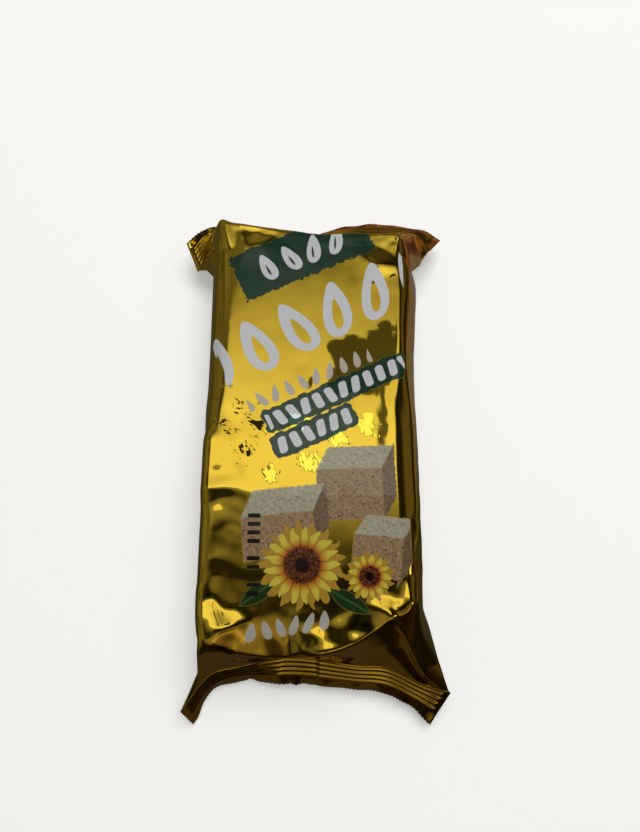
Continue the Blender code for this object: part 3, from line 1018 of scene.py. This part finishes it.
def floor_material():
    """Pale to the eye, but the film mirrors a dim table with painted light and shade on it: reddish beyond
    the far end, painted lighter on the right, and painted shade darkening it at the near one.
    """
    material = plain_material("floor", (0.9, 0.9, 0.89), 0.9)
    tree = material.node_tree
    shader = tree.nodes["Principled BSDF"]
    x, y = split(tree, tree.nodes.new("ShaderNodeTexCoord").outputs["Object"])
    grain = noise_field(tree, joined(tree, x, y), 0.03, 2.0)
    # Painted light: the mirrored table is lighter on the right than on the left.
    mirrored_table_light_and_shade = mixed(tree, x.ramp(0.0, 0.04), (0.11, 0.12, 0.12), (0.26, 0.25, 0.40))
    # Painted shade: the mirrored table gets darker towards the near end and darkest well in front, with a
    # nearly black painted shadow by the near right corner. The reddish wood beyond the far end is the table's
    # own colour.
    mirrored_table_light_and_shade = mixed(tree, y.ramp(0.02, -0.03), mirrored_table_light_and_shade, (0.075, 0.07, 0.06))
    mirrored_table_light_and_shade = mixed(tree, y.ramp(-0.08, -0.10), mirrored_table_light_and_shade, (0.08, 0.062, 0.05))
    mirrored_table_light_and_shade = mixed(tree, y.ramp(-0.25, -0.5), mirrored_table_light_and_shade, (0.03, 0.02, 0.01))
    mirrored_table_light_and_shade = mixed(tree, x.ramp(0.04, 0.07) * y.ramp(-0.075, -0.085), mirrored_table_light_and_shade, (0.006, 0.005, 0.008))
    red = mixed(tree, grain.ramp(0.4, 0.6), (0.10, 0.032, 0.03), (0.45, 0.24, 0.16))
    mirrored_table_light_and_shade = mixed(tree, y.ramp(0.08, 0.10) * x.ramp(-0.07, -0.05), mirrored_table_light_and_shade, red)
    ray = tree.nodes.new("ShaderNodeLightPath")
    mirrored = Field(tree, ray.outputs["Is Glossy Ray"])
    feed(tree, shader.inputs["Base Color"], mixed(tree, mirrored, (0.9, 0.9, 0.89), mirrored_table_light_and_shade))
    seen = Field(tree, ray.outputs["Is Camera Ray"])
    feed(tree, shader.inputs["Emission Color"], mixed(tree, seen, (0.0, 0.0, 0.0), (1.0, 1.0, 1.0)))
    shader.inputs["Emission Strength"].default_value = 0.35
    return material


def glow(tree, direction, toward, near_degrees, far_degrees):
    """A soft patch of light in the room: full within the near angle and gone past the far one."""
    node = tree.nodes.new("ShaderNodeVectorMath")
    node.operation = "DOT_PRODUCT"
    feed(tree, node.inputs[0], direction)
    node.inputs[1].default_value = Vector(toward).normalized()
    facing = Field(tree, node.outputs["Value"])
    return facing.ramp(math.cos(math.radians(far_degrees)), math.cos(math.radians(near_degrees)))


def window(tree, overhead):
    """A wide window beyond the far end: brightest along its upper edge, and cut off sharply there."""
    x, y = split(tree, overhead)
    pelmet = y.ramp(0.10, 0.20, 0.0, 0.3)
    upper_edge = y.ramp(0.200, 0.210).math("MAXIMUM", pelmet)
    fall = y.ramp(0.28, 0.70, 1.0, 0.0).math("POWER", 1.15)
    sides = abs(x + 0.04).ramp(0.30, 0.40, 1.0, 0.0)
    return upper_edge * fall * sides


def hanging_shade(tree, overhead):
    """A dark shade that hangs in front of the window."""
    left = box_distance(tree, seen_from(tree, overhead, (0.049, 0.406), 10.0), (0.030, 0.043), 0.020)
    right = box_distance(tree, seen_from(tree, overhead, (0.093, 0.421)), (0.026, 0.050), 0.024)
    foot = box_distance(tree, seen_from(tree, overhead, (0.040, 0.370), -6.0), (0.036, 0.018), 0.012)
    tail = box_distance(tree, seen_from(tree, overhead, (0.084, 0.322)), (0.009, 0.062), 0.008)
    shape = left.math("MINIMUM", right).math("MINIMUM", foot).math("MINIMUM", tail)
    return inside(shape, 0.002) * 0.92


def lamp(tree, overhead):
    """A small lamp on the right; only the film that is pressed on the block faces it."""
    return inside(box_distance(tree, seen_from(tree, overhead, (1.08, -0.14)), (0.21, 0.11), 0.07), 0.01)


def dim_room():
    """Dim walls, uneven enough to give the film something to mirror; the eye sees a pale wall instead."""
    world = bpy.data.worlds.new("room")
    world.use_nodes = True
    tree = world.node_tree
    direction = tree.nodes.new("ShaderNodeTexCoord").outputs["Generated"]
    parts = tree.nodes.new("ShaderNodeSeparateXYZ")
    feed(tree, parts.inputs["Vector"], direction)
    x, y, z = (Field(tree, parts.outputs[axis]) for axis in "XYZ")
    height = z.math("MAXIMUM", 0.05)
    overhead = joined(tree, x / height, y / height)
    uneven = noise_field(tree, direction, 0.42, 1.0, 2.0).ramp(0.35, 0.65, 0.3, 1.7)
    left = glow(tree, direction, (-0.9, 0.15, 0.45), 20.0, 56.0) * 0.13
    right = glow(tree, direction, (0.85, 0.45, 0.4), 30.0, 60.0) * 0.045
    front = glow(tree, direction, (-0.1, -0.47, 0.88), 8.0, 22.0) * 0.18
    front = front + glow(tree, direction, (0.35, -0.36, 0.88), 8.0, 20.0) * 0.4
    back = glow(tree, direction, (0.0, 0.85, 0.5), 5.0, 24.0) * 0.25
    walls = (left + right + front + back + y.ramp(-0.1, -0.3, 0.02, 0.01)) * uneven
    open_window = window(tree, overhead) * (-hanging_shade(tree, overhead) + 1.0)
    lit = lamp(tree, overhead)
    strength = walls + open_window * WINDOW_STRENGTH + lit * LAMP_STRENGTH
    low = mixed(tree, x.ramp(-0.3, -0.7), (1.0, 0.66, 0.48), (1.0, 1.0, 0.75))
    low = mixed(tree, x.ramp(0.4, 0.6) * y.ramp(0.05, 0.15), low, (1.0, 0.9, 0.72))
    high = z.ramp(0.25, 0.8) * y.ramp(-0.35, -0.15, 0.5, 1.0) * x.ramp(0.3, 0.6, 1.0, 0.3)
    tint = mixed(tree, high, low, (0.97, 1.0, 0.85))
    tint = mixed(tree, lit, tint, (0.8, 1.0, 0.85))
    ray = tree.nodes.new("ShaderNodeLightPath")
    seen = Field(tree, ray.outputs["Is Camera Ray"])
    background = tree.nodes["Background"]
    feed(tree, background.inputs["Color"], mixed(tree, seen, tint, (0.93, 0.93, 0.92)))
    feed(tree, background.inputs["Strength"], seen + strength * (-seen + 1.0))
    bpy.context.scene.world = world


def soft_light():
    """A wide soft light high over the far end, which the film doesn't mirror."""
    light = bpy.data.lights.new("fill", "AREA")
    light.shape = "RECTANGLE"
    light.size = light.size_y = 1.2
    light.energy = 17.0
    hung = bpy.data.objects.new("fill", light)
    hung.location = (0.3, 0.5, 1.6)
    hung.rotation_euler = (-hung.location).to_track_quat("-Z", "Y").to_euler()
    hung.visible_glossy = False
    bpy.context.scene.collection.objects.link(hung)


def set_camera():
    """Looks down on the pack from over its near end."""
    camera = bpy.data.cameras.new("camera")
    camera.sensor_width = 36.0
    camera.lens = 31.15
    camera.clip_start = 0.01
    viewer = bpy.data.objects.new("camera", camera)
    pitch = math.radians(72.4)
    middle = Vector((3.35, 3.5, 18.0)) * MM
    distance = 271.6 * MM
    viewer.location = middle + Vector((0.0, -math.cos(pitch), math.sin(pitch))) * distance
    viewer.rotation_euler = (math.pi / 2 - pitch, 0.0, 0.0)
    bpy.context.scene.collection.objects.link(viewer)
    bpy.context.scene.camera = viewer


make_back_seam(make_film())
make_floor()
dim_room()
soft_light()
set_camera()
bpy.context.scene.view_settings.view_transform = "Standard"
